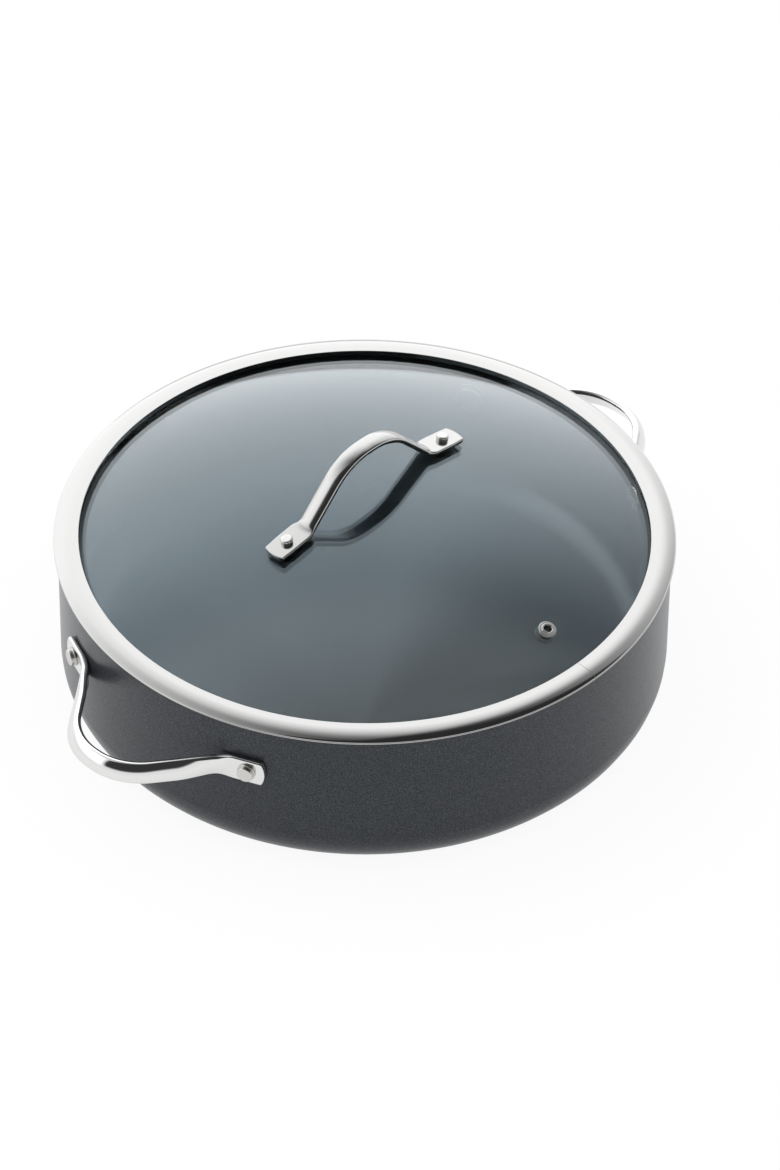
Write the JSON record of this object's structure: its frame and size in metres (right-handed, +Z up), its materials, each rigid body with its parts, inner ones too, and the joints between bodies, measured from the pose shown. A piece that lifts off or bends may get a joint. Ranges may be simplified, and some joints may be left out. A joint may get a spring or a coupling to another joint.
{
  "type": "covered saute pan",
  "caption": "Wide low saute pan in dark hard-anodised aluminium with riveted steel loop handles and a domed glass lid with a steel rim, strap handle and steam vent.",
  "frame": {"origin": "middle of the pan's standing face, on the surface it stands on", "axes": "+Z up; +X and -X point to the two side handles, and the lid handle runs along X; the steam vent is towards -Y"},
  "size_m": [0.3846, 0.31, 0.1465],
  "materials": {
    "anodised_aluminium": "hard-anodised, fine matt grain",
    "base_steel": "turned",
    "handle_steel": "polished",
    "rivet_steel": "polished",
    "hardware_steel": "polished",
    "rim_steel": "fine satin",
    "tempered_glass": "clear, faintly green",
    "silicone": "matt black",
    "vent_silicone": "translucent",
    "liner_plastic": "matt black"
  },
  "bodies": {
    "pan": {"pan_body": "anodised_aluminium", "induction_base_plate": "base_steel", "side_handle_right": "handle_steel", "side_handle_left": "handle_steel", "side_handle_right_rivet_a": "rivet_steel", "side_handle_right_rivet_b": "rivet_steel", "side_handle_left_rivet_a": "rivet_steel", "side_handle_left_rivet_b": "rivet_steel"},
    "lid": {"lid_glass": "tempered_glass", "lid_rim_band": "rim_steel", "lid_rim_liner": "liner_plastic", "lid_handle": "handle_steel", "lid_handle_right_rivet": "rivet_steel", "lid_handle_right_upper_gasket": "silicone", "lid_handle_right_lower_gasket": "silicone", "lid_handle_right_lower_washer": "hardware_steel", "lid_handle_left_rivet": "rivet_steel", "lid_handle_left_upper_gasket": "silicone", "lid_handle_left_lower_gasket": "silicone", "lid_handle_left_lower_washer": "hardware_steel", "steam_vent_eyelet": "hardware_steel", "steam_vent_gasket": "vent_silicone", "steam_vent_lower_gasket": "vent_silicone", "steam_vent_lower_washer": "hardware_steel"}
  },
  "joints": [
    {"name": "lid_lift", "type": "slide", "parent": "pan", "child": "lid", "axis": [0, 0, 1], "range_m": [0, 0.12]}
  ]
}
